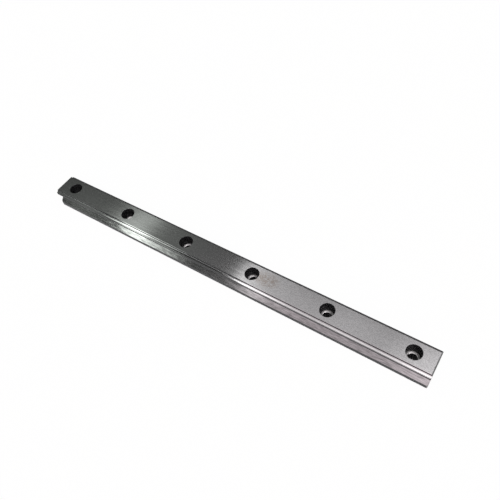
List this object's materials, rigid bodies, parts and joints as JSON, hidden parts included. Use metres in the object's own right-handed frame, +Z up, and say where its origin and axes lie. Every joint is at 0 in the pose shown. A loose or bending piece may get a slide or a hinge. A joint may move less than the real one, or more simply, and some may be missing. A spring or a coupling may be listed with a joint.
{
  "type": "profiled linear guide rail",
  "caption": "Low steel guide rail with a raceway groove above and below the ridge on each side, a sloping foot, and a row of counterbored screw holes.",
  "frame": {"origin": "on the underside, halfway along the rail and on its centre line", "axes": "+X along the rail, +Y across it, +Z up from the underside to the top face"},
  "size_m": [0.44, 0.028, 0.023],
  "materials": {
    "ground_steel": "ground bearing steel, bright, with fine lengthwise grinding lines"
  },
  "bodies": {
    "root": {"rail": "ground_steel"}
  },
  "joints": []
}
